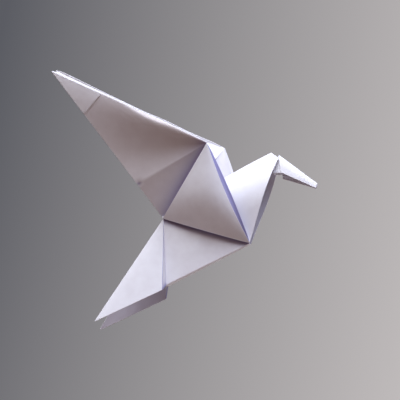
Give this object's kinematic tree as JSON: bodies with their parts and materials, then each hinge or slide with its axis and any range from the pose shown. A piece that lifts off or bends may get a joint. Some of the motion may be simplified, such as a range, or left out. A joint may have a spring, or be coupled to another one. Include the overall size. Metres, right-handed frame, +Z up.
{
  "type": "folded paper bird",
  "caption": "Folded paper bird in climbing flight with raised pointed wings, a reverse-folded head and a split pointed tail, posed along its creases.",
  "frame": {"origin": "the crossing on the back where the two wing creases, the back fold and the tail creases meet, in the middle plane; the bird hangs or is held there", "axes": "+X towards the beak, +Y to the bird's left, +Z up in the climbing attitude"},
  "size_m": [0.1259, 0.0326, 0.1254],
  "materials": {
    "outer_paper": "matte white folding paper, bare fibre surface",
    "folded_inside": "matte white folding paper seen inside the folds"
  },
  "bodies": {
    "body": {"keel_fold": "outer_paper", "inner_flap": "folded_inside", "right_body_side": "outer_paper", "right_breast_panel": "outer_paper", "right_neck_panel": "outer_paper", "left_body_side": "outer_paper", "left_breast_panel": "outer_paper", "left_neck_panel": "outer_paper"},
    "head": {"right_head_side": "outer_paper", "right_head_collar": "outer_paper", "left_head_side": "outer_paper", "left_head_collar": "outer_paper"},
    "right_wing_root": {"right_wing_root": "outer_paper", "right_wing_lining": "folded_inside"},
    "right_wing_inner": {"right_wing_inner": "outer_paper"},
    "right_wing_outer": {"right_wing_outer": "outer_paper", "right_wing_tip_layer": "outer_paper"},
    "right_tail_pleat": {"right_tail_pleat": "folded_inside"},
    "right_tail_leaf": {"right_tail_leaf": "outer_paper"},
    "left_wing_root": {"left_wing_root": "outer_paper", "left_wing_lining": "folded_inside"},
    "left_wing_inner": {"left_wing_inner": "outer_paper"},
    "left_wing_outer": {"left_wing_outer": "outer_paper", "left_wing_tip_layer": "outer_paper"},
    "left_tail_pleat": {"left_tail_pleat": "folded_inside"},
    "left_tail_leaf": {"left_tail_leaf": "outer_paper"}
  },
  "joints": [
    {"name": "head_nod", "type": "hinge", "parent": "body", "child": "head", "pos_m": [0.05309, 0, 0.02477], "axis": [0, 1, 0], "range_deg": [-10, 12]},
    {"name": "right_wing_flap", "type": "hinge", "parent": "body", "child": "right_wing_root", "pos_m": [0, -0.0018, 0], "axis": [0.9494, 0, -0.314], "range_deg": [-3, 55]},
    {"name": "right_wing_fold", "type": "hinge", "parent": "right_wing_root", "child": "right_wing_inner", "pos_m": [0, -0.0018, 0], "axis": [0.5886, -0.3978, 0.7038], "range_deg": [-2, 35]},
    {"name": "right_wing_curl", "type": "hinge", "parent": "right_wing_inner", "child": "right_wing_outer", "pos_m": [-0.00978, -0.00949, 0.0145], "axis": [0.8943, -0.2302, 0.3837], "range_deg": [-2, 20]},
    {"name": "right_tail_pleat_turn", "type": "hinge", "parent": "body", "child": "right_tail_pleat", "pos_m": [0, -0.001, 0], "axis": [-0.0523, 0.0197, 0.9984], "range_deg": [-3, 20]},
    {"name": "right_tail_leaf_spread", "type": "hinge", "parent": "right_tail_pleat", "child": "right_tail_leaf", "pos_m": [0, -0.001, 0], "axis": [-0.0242, 0.1481, 0.9887], "range_deg": [-4, 25]},
    {"name": "left_wing_flap", "type": "hinge", "parent": "body", "child": "left_wing_root", "pos_m": [0, 0.0018, 0], "axis": [-0.9494, 0, 0.314], "range_deg": [-1, 64]},
    {"name": "left_wing_fold", "type": "hinge", "parent": "left_wing_root", "child": "left_wing_inner", "pos_m": [0, 0.0018, 0], "axis": [-0.567, -0.2555, -0.783], "range_deg": [-1, 35]},
    {"name": "left_wing_curl", "type": "hinge", "parent": "left_wing_inner", "child": "left_wing_outer", "pos_m": [-0.00942, 0.00757, 0.01559], "axis": [-0.8658, -0.1398, -0.4805], "range_deg": [-1, 16]},
    {"name": "left_tail_pleat_turn", "type": "hinge", "parent": "body", "child": "left_tail_pleat", "pos_m": [0, 0.001, 0], "axis": [0.0523, 0.0197, -0.9984], "range_deg": [-3, 20]},
    {"name": "left_tail_leaf_spread", "type": "hinge", "parent": "left_tail_pleat", "child": "left_tail_leaf", "pos_m": [0, 0.001, 0], "axis": [-0.0153, 0.1395, -0.9901], "range_deg": [-4, 25]}
  ]
}
